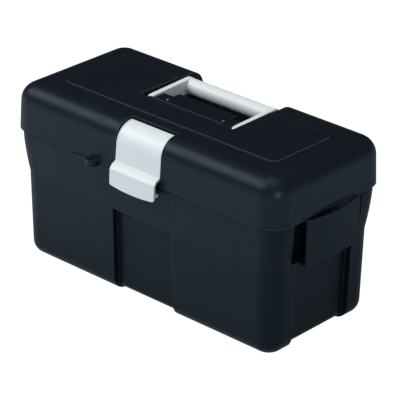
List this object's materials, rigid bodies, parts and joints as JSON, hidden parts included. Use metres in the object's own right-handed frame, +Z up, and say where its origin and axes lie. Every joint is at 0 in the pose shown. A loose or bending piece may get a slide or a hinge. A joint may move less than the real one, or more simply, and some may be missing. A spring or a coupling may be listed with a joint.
{
  "type": "toolbox",
  "caption": "Plastic toolbox with a hinged lid, a wide front latch, a handle that folds flat into the lid, end grips and a lift-out tray with dividers.",
  "frame": {"origin": "centre of the flat base, on the surface it stands on", "axes": "+X along the box, +Y to the rear hinge, -Y to the latch, +Z up"},
  "size_m": [0.41, 0.2047, 0.2167],
  "materials": {
    "box_plastic": "satin moulded, fine grain",
    "light_plastic": "satin moulded",
    "tray_plastic": "satin moulded",
    "pin_steel": "plain drawn wire"
  },
  "bodies": {
    "base": {"base_tub": "box_plastic", "end_grip_left": "box_plastic", "end_grip_right": "box_plastic", "padlock_tab_lower": "box_plastic", "hinge_pin_left": "pin_steel", "hinge_pin_right": "pin_steel"},
    "lid": {"lid_shell": "box_plastic", "padlock_tab_upper": "box_plastic", "latch_pin": "pin_steel", "handle_retainer": "box_plastic", "retainer_screws": "pin_steel"},
    "latch": {"front_latch": "light_plastic"},
    "handle": {"carry_handle": "light_plastic"},
    "tray": {"lift_out_tray": "tray_plastic", "tray_divider_front_1": "tray_plastic", "tray_divider_front_2": "tray_plastic", "tray_divider_front_3": "tray_plastic", "tray_divider_rear_1": "tray_plastic", "tray_divider_rear_2": "tray_plastic", "tray_divider_rear_3": "tray_plastic"}
  },
  "joints": [
    {"name": "lid_hinge", "type": "hinge", "parent": "base", "child": "lid", "pos_m": [0, 0.097, 0.1606], "axis": [-1, 0, 0], "range_deg": [0, 105]},
    {"name": "latch_hinge", "type": "hinge", "parent": "lid", "child": "latch", "pos_m": [0, -0.0697, 0.2073], "axis": [-1, 0, 0], "range_deg": [0, 95]},
    {"name": "handle_hinge", "type": "hinge", "parent": "lid", "child": "handle", "pos_m": [0, -0.002, 0.2075], "axis": [1, 0, 0], "range_deg": [0, 90]},
    {"name": "tray_lift", "type": "slide", "parent": "base", "child": "tray", "axis": [0, 0, 1], "range_m": [0, 0.1]}
  ],
  "couplings": [
    {"joint": "tray_lift", "follows": "lid_hinge", "m_per_rad": 0.054}
  ]
}
